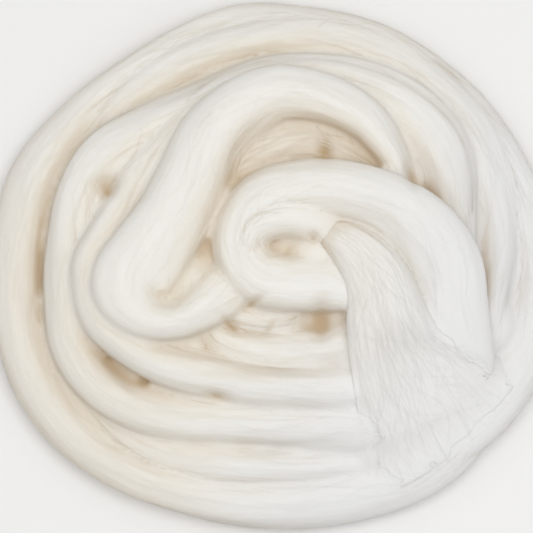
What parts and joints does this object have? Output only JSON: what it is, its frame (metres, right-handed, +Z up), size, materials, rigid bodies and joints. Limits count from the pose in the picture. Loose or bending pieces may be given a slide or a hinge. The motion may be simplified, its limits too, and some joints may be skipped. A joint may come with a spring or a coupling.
{
  "type": "wool roving nest",
  "caption": "Undyed combed wool roving, one thick soft strand wound loosely into a low round nest with a curled top and a frayed free end.",
  "frame": {"origin": "centre of the nest's box, on the surface that it rests on", "axes": "+Z up out of the resting face; +X to the right seen from above with the free end at the near right, +Y away from it"},
  "size_m": [0.2907, 0.2722, 0.0611],
  "materials": {
    "wool_nest": "undyed cream combed wool, matt, softly fibrous along the strand",
    "wool_free_end": "undyed cream combed wool, matt, drawn out thin and frayed"
  },
  "bodies": {
    "root": {"roving_nest": "wool_nest", "free_end": "wool_free_end"}
  },
  "joints": []
}
